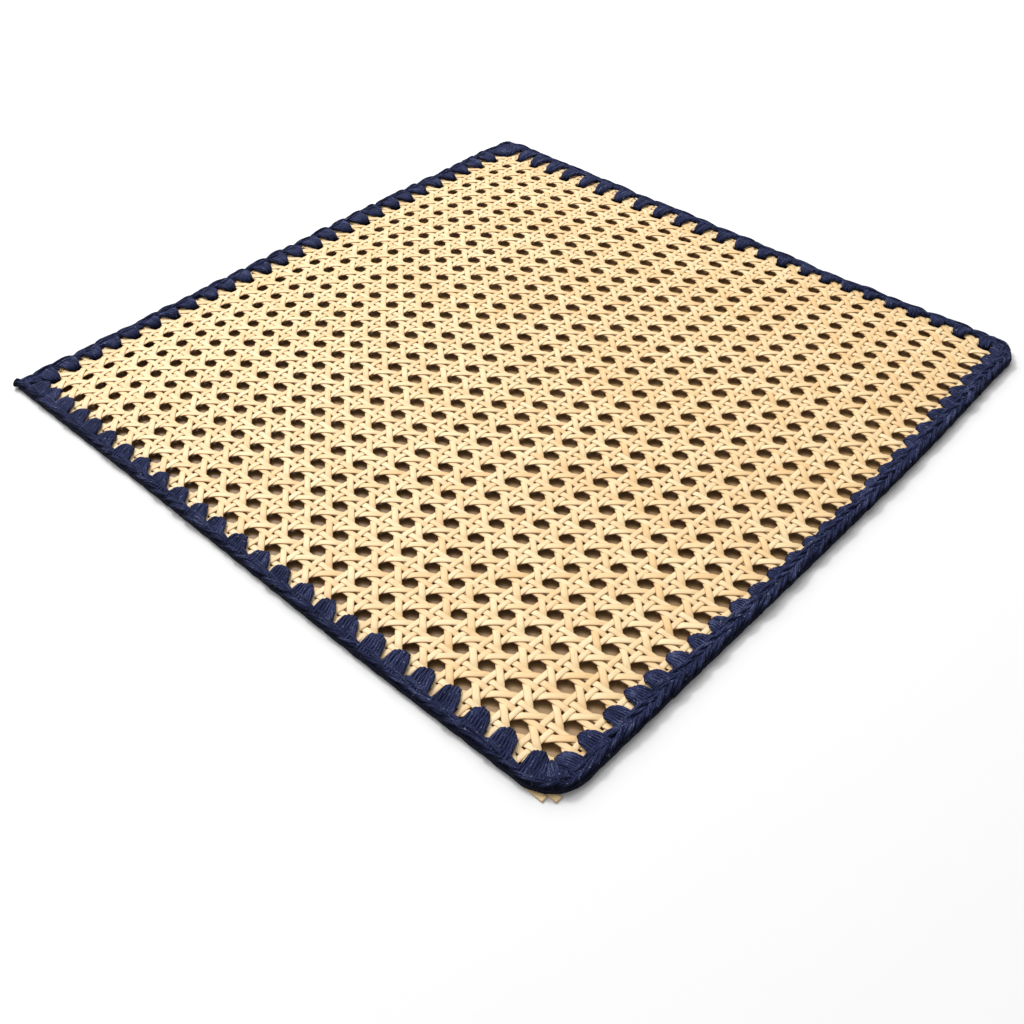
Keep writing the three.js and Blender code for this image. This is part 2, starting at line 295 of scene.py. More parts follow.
def stretched(tree, value, span, new_span):
    """A value moved from one span to another, and kept within the new one."""
    node = tree.nodes.new("ShaderNodeMapRange")
    node.inputs["From Min"].default_value = span[0]
    node.inputs["From Max"].default_value = span[1]
    node.inputs["To Min"].default_value = new_span[0]
    node.inputs["To Max"].default_value = new_span[1]
    tree.links.new(value, node.inputs["Value"])
    return node.outputs[0]


def ramp(tree, value, stops):
    """The colour at a value, between stops that each have a place and a colour."""
    node = tree.nodes.new("ShaderNodeValToRGB")
    while len(node.color_ramp.elements) < len(stops):
        node.color_ramp.elements.new(0.5)
    for element, (place, colour) in zip(node.color_ramp.elements, stops):
        element.position = place
        element.color = (*colour, 1)
    tree.links.new(value, node.inputs[0])
    return node.outputs[0]


def mixed(tree, amount, first, second, kind="MIX"):
    """Two colours mixed, with that much of the second one."""
    node = tree.nodes.new("ShaderNodeMix")
    node.data_type = "RGBA"
    node.blend_type = kind
    feed(tree, node.inputs[0], amount)
    feed(tree, node.inputs[6], first)
    feed(tree, node.inputs[7], second)
    return node.outputs[2]


def attribute(tree, name):
    """What the mesh says of its points under that name."""
    node = tree.nodes.new("ShaderNodeAttribute")
    node.attribute_name = name
    return node.outputs


def place_on(tree):
    """Where a point of the surface is, in metres."""
    return tree.nodes.new("ShaderNodeTexCoord").outputs["Object"]


def split(tree, vector):
    """The X, Y and Z of a place or of an attribute."""
    node = tree.nodes.new("ShaderNodeSeparateXYZ")
    tree.links.new(vector, node.inputs[0])
    return node.outputs


def roughen(tree, shader, height, strength, distance):
    """Fine relief on a surface, at a strength and with a depth in metres."""
    node = tree.nodes.new("ShaderNodeBump")
    node.inputs["Strength"].default_value = strength
    node.inputs["Distance"].default_value = distance
    tree.links.new(height, node.inputs["Height"])
    tree.links.new(node.outputs[0], shader.inputs["Normal"])


def new_finish(name):
    """A new material, with its nodes and its shader."""
    material = bpy.data.materials.new(name)
    material.use_nodes = True
    return material, material.node_tree, material.node_tree.nodes["Principled BSDF"]


CANE_TONES = (
    (0.0, (0.77, 0.535, 0.26)),
    (0.3, (0.81, 0.62, 0.345)),
    (0.7, (0.84, 0.675, 0.40)),
    (1.0, (0.80, 0.565, 0.295)),
)
GOLDEN = (0.76, 0.47, 0.20)
STREAK_BROWN = (0.62, 0.36, 0.14)
# The brown at the strands' edges: partly the cut edge's own colour, partly painted shade at the strand's
# sides.
RIM_BROWN_AND_SHADE = (0.42, 0.21, 0.07)
# Painted shade for the low parts of the cane: this brown, fading out between these heights in metres.
PAINTED_SHADE_BROWN = (0.36, 0.19, 0.06)
PAINTED_SHADE_FROM = (0.0023, 0.0028)
BLACK_TO_WHITE = ((0.0, 0.0, 0.0), (1.0, 1.0, 1.0))


def cane_finish(name, tint, painted_shade_by=0.75):
    """Split cane: cream to golden, streaked along the strand, with a waxy skin. Its edges are browner,
    partly their own colour and partly painted shade, and it has painted shade where it lies low.
    """
    material, tree, shader = new_finish(name)
    fibre = split(tree, attribute(tree, "fibre")["Vector"])

    def streaks(across, along, seed, scale, detail):
        place = tree.nodes.new("ShaderNodeCombineXYZ")
        for number, (axis, amount) in enumerate((("X", across), ("Y", along), ("Z", seed))):
            tree.links.new(worked_out(tree, "MULTIPLY", fibre[axis], amount), place.inputs[number])
        return grain(tree, place.outputs[0], scale, detail)

    def streaked(streak, first, last):
        return ramp(tree, streak, tuple(zip((first, last), BLACK_TO_WHITE)))

    colour = ramp(tree, fibre["Z"], CANE_TONES)
    broad = streaks(across=0.25, along=0.035, seed=91.0, scale=1.0, detail=2.0)
    golden = streaked(broad, 0.42, 0.7)
    colour = mixed(tree, worked_out(tree, "MULTIPLY", golden, 0.6), colour, GOLDEN)
    fine = streaks(across=2.6, along=0.09, seed=57.0, scale=2.2, detail=4.0)
    brown = streaked(fine, 0.45, 0.8)
    colour = mixed(tree, worked_out(tree, "MULTIPLY", brown, 0.45), colour, STREAK_BROWN)
    # The edges: partly the cut edge's own brown, partly painted shade at the sides of each strand.
    rim = worked_out(tree, "POWER", worked_out(tree, "ABSOLUTE", fibre["X"]), 4.0)
    colour = mixed(tree, worked_out(tree, "MULTIPLY", rim, 0.65), colour, RIM_BROWN_AND_SHADE)
    # Painted shade: the cane turns dark brown where it lies low, as if in the shadow of the strands over
    # it, by the amount given. The tips get none.
    level = split(tree, place_on(tree))["Z"]
    painted_shade = stretched(tree, level, PAINTED_SHADE_FROM, (painted_shade_by, 0.0))
    colour = mixed(tree, painted_shade, colour, PAINTED_SHADE_BROWN)
    colour = mixed(tree, 1.0, colour, tint, "MULTIPLY")
    tree.links.new(colour, shader.inputs["Base Color"])
    tree.links.new(stretched(tree, fine, (0.0, 1.0), (0.38, 0.62)), shader.inputs["Roughness"])
    shader.inputs["IOR"].default_value = 1.5
    height = worked_out(tree, "SUBTRACT", fine, worked_out(tree, "MULTIPLY", rim, 1.5))
    roughen(tree, shader, height, 0.35, 0.00012)
    return material


def dress(piece, node, material):
    """Gives a piece its finish and its body, and hides the part of the model that it stands in for."""
    piece.data.materials.append(material)
    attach(piece, "root")
    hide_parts(node)


rng = np.random.default_rng(11)
uprights = paired(True, UPRIGHT_APART, UPRIGHT_WIDTH, UPRIGHT_LIFTS_AT, UPRIGHT_OFF_MIDDLE)
cane_uprights = cane_piece("cane_uprights", uprights)
dress(cane_uprights, "cane_panel", cane_finish("cane_uprights", (1.0, 1.0, 1.0)))


# The rows of the webbing: the same split cane in pairs from left to right. Each strand goes over
# one strand of an upright pair and under the other, so that the two pairs lock.
ROW_APART = 2.0
ROW_WIDTH = 2.75
ROW_LIFTS_AT = 0.15
ROW_OFF_MIDDLE = 0.14
cane_rows = cane_piece("cane_rows", paired(False, ROW_APART, ROW_WIDTH, ROW_LIFTS_AT, ROW_OFF_MIDDLE))
dress(cane_rows, "cane_panel", cane_finish("cane_rows", (1.0, 1.0, 1.0)))


# The slanting strands: two sets of single strands of the same cane, one through each crossing
# and each way. They cut the corners off the eyes and make them eight-sided.
SLANT_WIDTH = 3.05
SLANT_LIFT = 0.52
SLANT_STEP = 1 / 16
SLANT_LEAST = 12
SLANT_SQUARENESS = 1.8
SLANT_SWINGS = (0.15, 6.0)
SLANT_WIDENS = (0.02, 8.0)
EACH_WAY = 0.7


def slanting(rise, over_uprights):
    """One set of slanting strands, that rises or falls by one row in each column."""
    strands = []
    wide = COLUMNS[1] - COLUMNS[0] + 3
    high = ROWS[1] - ROWS[0] + 3
    for k in range(-wide - high, wide + high):
        column = np.arange(COLUMNS[0] - RUN_OUT, COLUMNS[1] + RUN_OUT, SLANT_STEP)
        row = k + 0.5 + rise * column
        woven = (row > ROWS[0] - RUN_OUT) & (row < ROWS[1] + RUN_OUT)
        row = row[woven]
        column = column[woven]
        if len(row) < SLANT_LEAST:
            continue
        kept = trimmed(column, row, CUT_INSIDE + rng.uniform(*CUT_VARIES))
        if kept is None:
            continue
        row = row[kept]
        column = column[kept]
        x, y = eye_at(column, row)
        swing = waver(rng, column, *SLANT_SWINGS) * EACH_WAY
        x = x - rise * swing
        y = y + swing
        wave = np.tanh(SLANT_SQUARENESS * np.cos(math.tau * (column - 0.5))) / math.tanh(SLANT_SQUARENESS)
        height = over_uprights * SLANT_LIFT * wave + rng.uniform(-HEIGHT_VARIES, HEIGHT_VARIES)
        varied = 1 + rng.uniform(-WIDTH_VARIES, WIDTH_VARIES) + waver(rng, column, *SLANT_WIDENS)
        line = np.stack([x, y, MIDDLE_HEIGHT + height], axis=1)
        strands.append((line, SLANT_WIDTH * varied, rng.uniform()))
    return strands


cane_falling = cane_piece("cane_falling", slanting(-1, 1))
dress(cane_falling, "cane_panel", cane_finish("cane_falling", (1.0, 0.99, 0.97)))
cane_rising = cane_piece("cane_rising", slanting(1, -1))
dress(cane_rising, "cane_panel", cane_finish("cane_rising", (1.0, 0.97, 0.93)))


# The clusters of the edging: navy plied cotton yarn, seven loops of it through each outer eye and
# around the cut edge of the cane. They're pulled together in the eye and fanned out along the rim.
EDGE_POINTS = 180
CORNER_POINTS = 24
# Each side of the mat: the way along it, the way out of it, and the corners at its two ends.
SIDES = [
    ("near", (1, 0), (0, -1), "near_left", "near_right"),
    ("right", (0, 1), (1, 0), "near_right", "far_right"),
    ("far", (-1, 0), (0, 1), "far_right", "far_left"),
    ("left", (0, -1), (-1, 0), "far_left", "near_left"),
]
LOOK_AHEAD = 6.0
EYE_HALF = {"near": 4.1, "far": 4.1}
OTHER_EYE_HALF = 3.5
REACH_PAST = {"near": 0.5, "right": 4.0, "far": 4.6, "left": 0.5}
CORNER_REACH_PAST = 0.4
LEAST_REACH = 6.6
CHAIN_BAND = {"near": 7.4, "right": 5.6, "far": 6.2, "left": 5.4}
BAND_EASES_OVER = 14
LEAN = {"near": 0.5, "right": 0.3, "far": 0.6, "left": 2.7}
ROOT_HALF = {"near": 4.2, "right": 3.7, "far": 4.3, "left": 4.9}
CORNER_ROOT_HALF = 6.4
TIP_HALF = {"near": 2.4, "right": 2.1, "far": 2.5, "left": 3.0, "near_left": 3.0}
CORNER_TIP_HALF = 1.6
# The tips on the left get closer together away from the near edge, between these places, and the
# roots of the near clusters get further apart towards the right.
LEFT_TIPS_CLOSE_BY = 0.55
LEFT_TIPS_CLOSE_OVER = (-100, 120)
NEAR_ROOTS_PART_OVER = (-100, 150)
CORNER_SHORTER = 2.2
CORNER_LOWER = 0.6
LOOPS_IN_CLUSTER = 7
FAN_TURN = math.radians(72)
FAN_DEPTH = 0.69
FAN_DROP = 0.4
FAN_DROP_BY_WIDTH = 1.1
BOW = 0.6
INSIDE_BAND = 1.0
LEAST_TO_TIP = 3.0
YARN_RADIUS = 1.0
LOOP_POINTS = 20
LOOP_SIDES = 6
UNDERSIDE = 0.9
# A loop goes up the rim, over the cane, down through the eye and back under the cane. The points
# at the rim have a depth and a height, and those of the plan have a share of the way to the tip,
# a height, and a 1 where that height varies from loop to loop.
LOOP_START = ((1.1, 1.9), (1.15, 3.0), (2.4, 3.7))
LOOP_END = (2.4, UNDERSIDE)
LOOP_PLAN = (
    (0.0, 4.1, 0),
    (0.35, 4.6, 1),
    (0.7, 4.6, 1),
    (0.92, 4.1, 1),
    (1.0, 3.1, 0),
    (1.0, 2.0, 0),
    (0.75, 1.0, 0),
    (0.3, UNDERSIDE, 0),
)
LOOP_VARIES = {
    "lean": (-0.5, 0.5),
    "root": (0.93, 1.05),
    "sideways": (-0.25, 0.25),
    "shorter": (0, 0.6),
    "lift": (-0.25, 0.2),
    "radius": (0.82, 1.15),
    "tone": (0.7, 1.0),
}


def walk_outline():
    """The outline as a closed row of points, anticlockwise from the near left corner."""
    points = []
    for number, (edge, along, out, start, end) in enumerate(SIDES):
        along = np.array(along, float)
        out = np.array(out, float)
        first = -HALF_SIDE + CORNER_RADIUS[start]
        last = HALF_SIDE - CORNER_RADIUS[end]
        for s in np.linspace(first, last, EDGE_POINTS, endpoint=False):
            points.append(along * s + out * (HALF_SIDE + wander(edge, s * along.sum())))
        next_edge, next_along, next_out = SIDES[(number + 1) % 4][:3]
        radius = CORNER_RADIUS[end]
        here = HALF_SIDE + wander(edge, last * along.sum()) - radius
        there = HALF_SIDE + wander(next_edge, (-HALF_SIDE + radius) * sum(next_along)) - radius
        for turn in np.linspace(0, math.pi / 2, CORNER_POINTS, endpoint=False):
            one = out * (here + radius * math.cos(turn))
            points.append(one + np.array(next_out, float) * (there + radius * math.sin(turn)))
    return np.array(points)


outline = walk_outline()
closed = np.concatenate([outline, outline[:1]])
walked = lengths_along(closed)
ROUND_IT = walked[-1]
QUARTER = ROUND_IT / 4


def rim_at(distance):
    """Points of the outline at walked distances, with their inward directions."""

    def on_outline(place):
        return np.stack([np.interp(place, walked, closed[:, k]) for k in (0, 1)], axis=-1)

    distance = np.mod(np.asarray(distance, float), ROUND_IT)
    ahead = on_outline(np.mod(distance + LOOK_AHEAD, ROUND_IT))
    behind = on_outline(np.mod(distance - LOOK_AHEAD, ROUND_IT))
    heading = unit(ahead - behind)
    return on_outline(distance), np.stack([-heading[..., 1], heading[..., 0]], axis=-1)


def band_at(distance):
    """How wide the chain is at walked distances, which changes slowly at the corners."""
    places = []
    widths = []
    for number, side in enumerate(SIDES):
        places += [number * QUARTER + BAND_EASES_OVER, (number + 1) * QUARTER - BAND_EASES_OVER]
        widths += [CHAIN_BAND[side[0]]] * 2
    return np.interp(np.mod(distance, ROUND_IT), places, widths, period=ROUND_IT)


def list_clusters():
    """Each outer eye and side, and each corner: place on the rim, reach and the edge it is on."""
    columns = range(COLUMNS[0], COLUMNS[1] + 1)
    rows = range(ROWS[0], ROWS[1] + 1)
    places = [(column, rows[0], (0, -1), "near") for column in columns]
    places.append((columns[-1], rows[0], None, "near_right"))
    places += [(columns[-1], row, (1, 0), "right") for row in rows]
    places.append((columns[-1], rows[-1], None, "far_right"))
    places += [(column, rows[-1], (0, 1), "far") for column in reversed(columns)]
    places.append((columns[0], rows[-1], None, "far_left"))
    places += [(columns[0], row, (-1, 0), "left") for row in reversed(rows)]
    places.append((columns[0], rows[0], None, "near_left"))
    found = []
    for column, row, out, where in places:
        eye = np.array(eye_at(column, row))
        if out is None:
            out = np.sign(eye) * HALF_SIDE - eye
            out /= np.linalg.norm(out)
        out = np.array(out, float)
        away = outline - eye
        miss = np.abs(away[:, 0] * out[1] - away[:, 1] * out[0])
        miss[away @ out <= 0] = np.inf
        at = walked[np.argmin(miss)]
        reach = np.linalg.norm(rim_at(at)[0] - eye) - EYE_HALF.get(where, OTHER_EYE_HALF)
        reach = max(reach + REACH_PAST.get(where, CORNER_REACH_PAST), LEAST_REACH)
        found.append({"at": at, "inward": -out, "reach": reach, "where": where})
    return found


BETWEEN_POINTS = 8


def smooth_line(points, count, closed_line):
    """A smooth line through a few points, as that many evenly spaced ones."""
    points = np.asarray(points, float)
    before = points[-1:] if closed_line else 2 * points[:1] - points[1:2]
    after = points[:2] if closed_line else 2 * points[-1:] - points[-2:-1]
    around = np.concatenate([before, points, after])
    dense = []
    for a, b, c, d in zip(around, around[1:], around[2:], around[3:]):
        slope = (c - a) / 2
        bend = a - 2.5 * b + 2 * c - d / 2
        turn = 1.5 * (b - c) + (d - a) / 2
        for t in np.linspace(0, 1, BETWEEN_POINTS, endpoint=False):
            dense.append(b + slope * t + bend * t**2 + turn * t**3)
    dense.append(points[0] if closed_line else points[-1])
    dense = np.array(dense)
    length = lengths_along(dense)
    wanted = np.linspace(0, length[-1], count + 1 if closed_line else count)
    if closed_line:
        wanted = wanted[:-1]
    return np.stack([np.interp(wanted, length, dense[:, k]) for k in range(3)], axis=1)


# Painted shade: the yarn's outer side is painted dark, as if in shadow. It gets lighter inwards from
# here, and upwards from this height.
LIGHTER_FROM = 0.3
LIGHTER_OVER = 2.0
CREST_FROM = 4.1
CREST_EASES_OVER = 0.9
LEAST_LIT = 0.15


def yarn_piece(name, lines, around):
    """Joined round yarns. Each has a middle line, a radius, a direction across, closed and a tone."""
    points = []
    plies = []
    tones = []
    quads = []
    caps = []
    base = 0
    turn = np.arange(around) * math.tau / around
    for line, radius, across, closed_line, tone in lines:
        count = len(line)
        if closed_line:
            heading = unit(np.roll(line, -1, axis=0) - np.roll(line, 1, axis=0))
        else:
            heading = unit(np.gradient(line, axis=0))
        first = unit(across - (heading @ across)[:, None] * heading)
        second = np.cross(heading, first)
        radius = np.broadcast_to(radius, (count,))
        ring = first[:, None] * np.cos(turn)[:, None] + second[:, None] * np.sin(turn)[:, None]
        place = (line[:, None] + ring * radius[:, None, None]).reshape(-1, 3)
        points.append(place)
        ply = np.zeros((count, around, 3))
        ply[:, :, 0] = np.cos(turn)
        ply[:, :, 1] = np.sin(turn)
        ply[:, :, 2] = lengths_along(line)[:, None]
        plies.append(ply.reshape(-1, 3))
        # Painted shade: each point's tone is darker on the edging's outer side and low down, down to the
        # least lit share.
        inside = (inside_by(place[:, 0], place[:, 1]) - LIGHTER_FROM) / LIGHTER_OVER
        crest = (place[:, 2] - CREST_FROM) / CREST_EASES_OVER
        lit = tone * np.clip(np.maximum(inside, crest), LEAST_LIT, 1)
        tones.append(np.repeat(lit[:, None], 3, axis=1))
        here = np.arange(count if closed_line else count - 1)
        quads.append(skin(base, here, (here + 1) % count, around))
        if not closed_line:
            caps.append(base + np.arange(around)[::-1])
            caps.append(base + (count - 1) * around + np.arange(around))
        base += count * around
    faces = [np.concatenate(quads)]
    if caps:
        faces.append(np.array(caps))
    groups = {"ply": np.concatenate(plies), "tone": np.concatenate(tones)}
    return mesh_piece(name, np.concatenate(points), faces, groups)


YARN_SHADES = (
    (0.14, (0.001, 0.0018, 0.012)),
    (0.48, (0.012, 0.017, 0.054)),
    (0.72, (0.028, 0.035, 0.1)),
    (1.0, (0.1, 0.115, 0.21)),
)
LINT = (0.17, 0.185, 0.27)
# Painted shade on the yarn: darkest below the first of these heights in metres, none above the second.
YARN_PAINTED_SHADE_OVER = (0.0021, 0.0045)


def yarn_finish(name, strands, twist):
    """Navy cotton yarn of many fine strands, fuzzy and flecked with lint, with painted shade: nearly
    black between the strands and darker low down.
    """
    material, tree, shader = new_finish(name)
    ply = split(tree, attribute(tree, "ply")["Vector"])
    tone = attribute(tree, "tone")["Fac"]
    place = place_on(tree)
    level = split(tree, place)["Z"]
    angle = worked_out(tree, "MULTIPLY", worked_out(tree, "ARCTAN2", ply["Y"], ply["X"]), strands)
    turned = worked_out(tree, "ADD", angle, worked_out(tree, "MULTIPLY", ply["Z"], twist))
    # The ridges of the fine strands: relief, and in the colour painted shade, darkest where two strands
    # meet.
    ridge = worked_out(tree, "SINE", worked_out(tree, "MULTIPLY", turned, 0.5))
    ridge = worked_out(tree, "ABSOLUTE", ridge)
    fuzz = grain(tree, place, 1500, 4)
    cloud = grain(tree, place, 160, 3)
    lint = grain(tree, place, 650, 2)
    fuzz_and_painted_shade = worked_out(tree, "MULTIPLY", fuzz, 1.15)
    fuzz_and_painted_shade = worked_out(tree, "ADD", worked_out(tree, "MULTIPLY", ridge, 0.3), fuzz_and_painted_shade)
    fuzz_and_painted_shade = worked_out(tree, "MULTIPLY", fuzz_and_painted_shade, worked_out(tree, "ADD", cloud, 0.4))
    # Painted shade: the yarn darker low down, on the edging's outer side and where the loops meet the
    # cane.
    shade = stretched(tree, level, YARN_PAINTED_SHADE_OVER, (0.05, 1.0))
    fuzz_and_painted_shade = worked_out(tree, "MULTIPLY", fuzz_and_painted_shade, shade)
    colour = ramp(tree, worked_out(tree, "MULTIPLY", fuzz_and_painted_shade, tone), YARN_SHADES)
    flecks = stretched(tree, lint, (0.66, 0.76), (0.0, 1.0))
    colour = mixed(tree, worked_out(tree, "MULTIPLY", flecks, shade), colour, LINT)
    tree.links.new(colour, shader.inputs["Base Color"])
    shader.inputs["Roughness"].default_value = 0.85
    shader.inputs["Specular IOR Level"].default_value = 0.12
    shader.inputs["Sheen Weight"].default_value = 0.04
    shader.inputs["Sheen Roughness"].default_value = 0.5
    shader.inputs["Sheen Tint"].default_value = (0.55, 0.6, 0.9, 1)
    height = worked_out(tree, "ADD", ridge, worked_out(tree, "MULTIPLY", fuzz, 0.5))
    roughen(tree, shader, height, 0.9, 0.00035)
    return material


def part_way(value, span):
    """How far a value has gone through a span, from 0 to 1."""
    return float(np.clip((value - span[0]) / (span[1] - span[0]), 0, 1))


def loop_varies(what):
    """A random amount, within what one loop of a cluster may differ from the next."""
    return rng.uniform(*LOOP_VARIES[what])


rng = np.random.default_rng(23)
loops = []
clusters = list_clusters()
for cluster in clusters:
    where = cluster["where"]
    corner = where not in LEAN
    band = float(band_at(cluster["at"]))
    lean = 0.0 if corner else LEAN[where] + loop_varies("lean")
    root_half = CORNER_ROOT_HALF if corner else ROOT_HALF[where] * loop_varies("root")
    tip_half = TIP_HALF.get(where, CORNER_TIP_HALF)
    rim = rim_at(cluster["at"])[0]
    if where == "left":
        tip_half *= 1 - LEFT_TIPS_CLOSE_BY * part_way(rim[1], LEFT_TIPS_CLOSE_OVER)
    if where == "near":
        root_half += part_way(rim[0], NEAR_ROOTS_PART_OVER)
    reach = cluster["reach"] - CORNER_SHORTER * corner
    middle = rim + cluster["inward"] * reach
    aside = np.array([cluster["inward"][1], -cluster["inward"][0]])
    across = np.array([aside[0], aside[1], 0.0])
    drop = (FAN_DROP + FAN_DROP_BY_WIDTH * tip_half / 2) * (not corner)
    for share in np.linspace(-1, 1, LOOPS_IN_CLUSTER):
        out, inward = rim_at(cluster["at"] + root_half * share + lean)
        turned = FAN_TURN * share
        sideways = tip_half * math.sin(turned) / math.sin(FAN_TURN) + loop_varies("sideways")
        step = root_half * share + lean - sideways
        tip = middle + aside * sideways
        tip -= cluster["inward"] * (drop * (1 - math.cos(turned)) / FAN_DEPTH + loop_varies("shorter"))
        start = out + inward * min(band - INSIDE_BAND, reach - LEAST_TO_TIP)
        lift = loop_varies("lift") - CORNER_LOWER * corner
        thick = YARN_RADIUS * loop_varies("radius")
        points = [(*(out + inward * depth), z) for depth, z in LOOP_START]
        for f, z, lifted in LOOP_PLAN:
            bow = aside * step * ((1 - f) ** BOW - (1 - f))
            points.append((*(start * (1 - f) + tip * f + bow), z + lift * lifted))
        points.append((*(out + inward * LOOP_END[0]), LOOP_END[1]))
        line = smooth_line(points, LOOP_POINTS, True)
        line[:, 2] = np.maximum(line[:, 2], UNDERSIDE)
        loops.append((line, thick, across, True, loop_varies("tone")))
half = len(loops) // 2
front_clusters = yarn_piece("front_clusters", loops[:half], LOOP_SIDES)
dress(front_clusters, "crochet_border", yarn_finish("front_clusters", 5, 1.3))
back_clusters = yarn_piece("back_clusters", loops[half:], LOOP_SIDES)
dress(back_clusters, "crochet_border", yarn_finish("back_clusters", 5, 1.3))


# The chain of the edging: the same yarn, crocheted along the rim on top of the clusters. Each
# stitch is a V that comes out of the one before it, and each leg of it is three strands, twisted.
CHAIN_STARTS_AT = 5.0
LEAST_GAP = 7.5
PITCH = {"near": 6.8, "right": 12.0, "far": 12.0, "left": 9.0}
NEAR_OVERLAP = 0.5
OVERLAP = 0.15
LEG_POINTS = 12
LEG_SIDES = 6
LEG_STRANDS = 3
LEG_TWIST = 0.17
STRAND_SHARE = 0.112
UPWARDS = np.array([0.0, 0.0, 1.0])
# The two legs of a stitch: at each place along it, a share of the band's width and a height.
LEG_AT = (0.12, 0.5, 0.88)
INNER_LEG = ((0.9, 3.6), (0.84, 4.2), (0.72, 4.5), (0.6, 4.35), (0.45, 3.5))
OUTER_LEG = ((0.18, 2.9), (0.24, 3.9), (0.32, 4.35), (0.42, 4.3), (0.56, 3.5))
SWELL = 0.75 + 0.25 * np.sin(np.linspace(0.12, math.pi - 0.12, LEG_POINTS)) ** 0.6
FLATTENED = 0.8
LEG_VARIES = {
    "shift": (-0.5, 0.5),
    "drift": (-0.2, 0.2),
    "depth": (-0.35, 0.35),
    "height": (-0.3, 0.25),
    "size": (0.9, 1.1),
    "spread": (0.95, 1.15),
    "radius": (0.8, 1.15),
    "tone": (0.75, 1.0),
}


def stitch_starts():
    """Where the stitches of the chain start, evenly between the clusters."""
    starts = sorted(
        (cluster["at"] + LEAN.get(cluster["where"], 0.0) - CHAIN_STARTS_AT) % ROUND_IT
        for cluster in clusters
    )
    even = [starts[0]]
    for start in starts[1:] + [starts[0] + ROUND_IT]:
        gap = start - even[-1]
        if gap < LEAST_GAP:
            continue
        edge = SIDES[min(int(even[-1] / QUARTER), 3)][0]
        parts = max(1, round(gap / PITCH[edge]))
        even += [even[-1] + gap * part / parts for part in range(1, parts + 1)]
    return even[:-1]


def leg_varies(what):
    """A random amount, within what one leg of a stitch may differ from the next."""
    return rng.uniform(*LEG_VARIES[what])


stitches = []
even = stitch_starts()
for number, start in enumerate(even):
    length = (even[(number + 1) % len(even)] - start) % ROUND_IT
    long = NEAR_OVERLAP if start < QUARTER else OVERLAP
    for leg in (INNER_LEG, OUTER_LEG):
        points = []
        shift = leg_varies("shift")
        drift = leg_varies("drift")
        for along, (share, z) in zip((-long, *LEG_AT, 1 + long), leg):
            place = start + (along + drift) * length
            point, inward = rim_at(place)
            inwards = share * float(band_at(place)) + shift + leg_varies("depth")
            points.append((*(point + inward * inwards), z + leg_varies("height")))
        line = smooth_line(points, LEG_POINTS, False)
        fat = float(band_at(start)) * STRAND_SHARE * leg_varies("size")
        heading = unit(np.gradient(line, axis=0))
        level = unit(np.cross(heading, UPWARDS))
        upward = np.cross(level, heading)
        first = rng.uniform(0, math.pi / 2)
        for ply in range(LEG_STRANDS):
            turned = first + ply * math.tau / LEG_STRANDS + np.linspace(0, LEG_TWIST * length, LEG_POINTS)
            offset = level * np.cos(turned)[:, None] + upward * np.sin(turned)[:, None] * FLATTENED
            spread = fat * SWELL * leg_varies("spread")
            strand = line + offset * spread[:, None]
            thick = fat * SWELL * leg_varies("radius")
            stitches.append((strand, thick, UPWARDS, False, leg_varies("tone")))
yarn_chain = yarn_piece("yarn_chain", stitches, LEG_SIDES)
dress(yarn_chain, "crochet_border", yarn_finish("yarn_chain", 5, 1.5))


# The runs under the chain: lengths of the yarn carried round the rim inside the stitches. They are
# what fills the edging and its outer side. Each has its depth from the rim, height, radius and tone;
# the tones are painted shade, darkest for the low runs on the outer side.
RUNS = (
    (1.25, 1.1, 1.05, 0.3),
    (1.1, 2.5, 1.05, 0.4),
    (2.4, 3.2, 1.3, 0.6),
    (4.0, 3.2, 1.3, 0.6),
    (3.2, 1.2, 1.1, 0.5),
)
RUN_POINTS = 900
RUN_SIDES = 8
RUN_SWINGS = (0.12, 13.0)
RUN_RISES = (0.1, 11.0)
runs = []
distance = np.linspace(0, ROUND_IT, RUN_POINTS, endpoint=False)
point, inward = rim_at(distance)
for inwards, z, thick, tone in RUNS:
    inwards = inwards + waver(rng, distance, *RUN_SWINGS)
    z = z + waver(rng, distance, *RUN_RISES)
    line = np.concatenate([point + inward * inwards[:, None], z[:, None]], axis=1)
    runs.append((line, thick, UPWARDS, True, tone))
yarn_runs = yarn_piece("yarn_runs", runs, RUN_SIDES)
dress(yarn_runs, "crochet_border", yarn_finish("yarn_runs", 7, 1.5))


# The knot at the far left corner: a small round loop of the same yarn. It's where the yarn was
# fastened off.
KNOT_AT = (-183.5, 182.4, 2.6)
KNOT_REACH = 1.1
KNOT_RISE = 0.7
KNOT_RADIUS = 1.4
KNOT_POINTS = 14
KNOT_SIDES = 10
KNOT_TONE = 0.7
turn = np.linspace(0, math.tau, KNOT_POINTS, endpoint=False)
knot = np.stack(
    [
        KNOT_AT[0] + KNOT_REACH * np.cos(turn),
        KNOT_AT[1] + KNOT_REACH * np.sin(turn),
        KNOT_AT[2] + KNOT_RISE * np.sin(turn * 2),
    ],
    axis=1,
)
yarn_knot = yarn_piece("yarn_knot", [(knot, KNOT_RADIUS, UPWARDS, True, KNOT_TONE)], KNOT_SIDES)
dress(yarn_knot, "crochet_border", yarn_finish("yarn_knot", 9, 1.5))


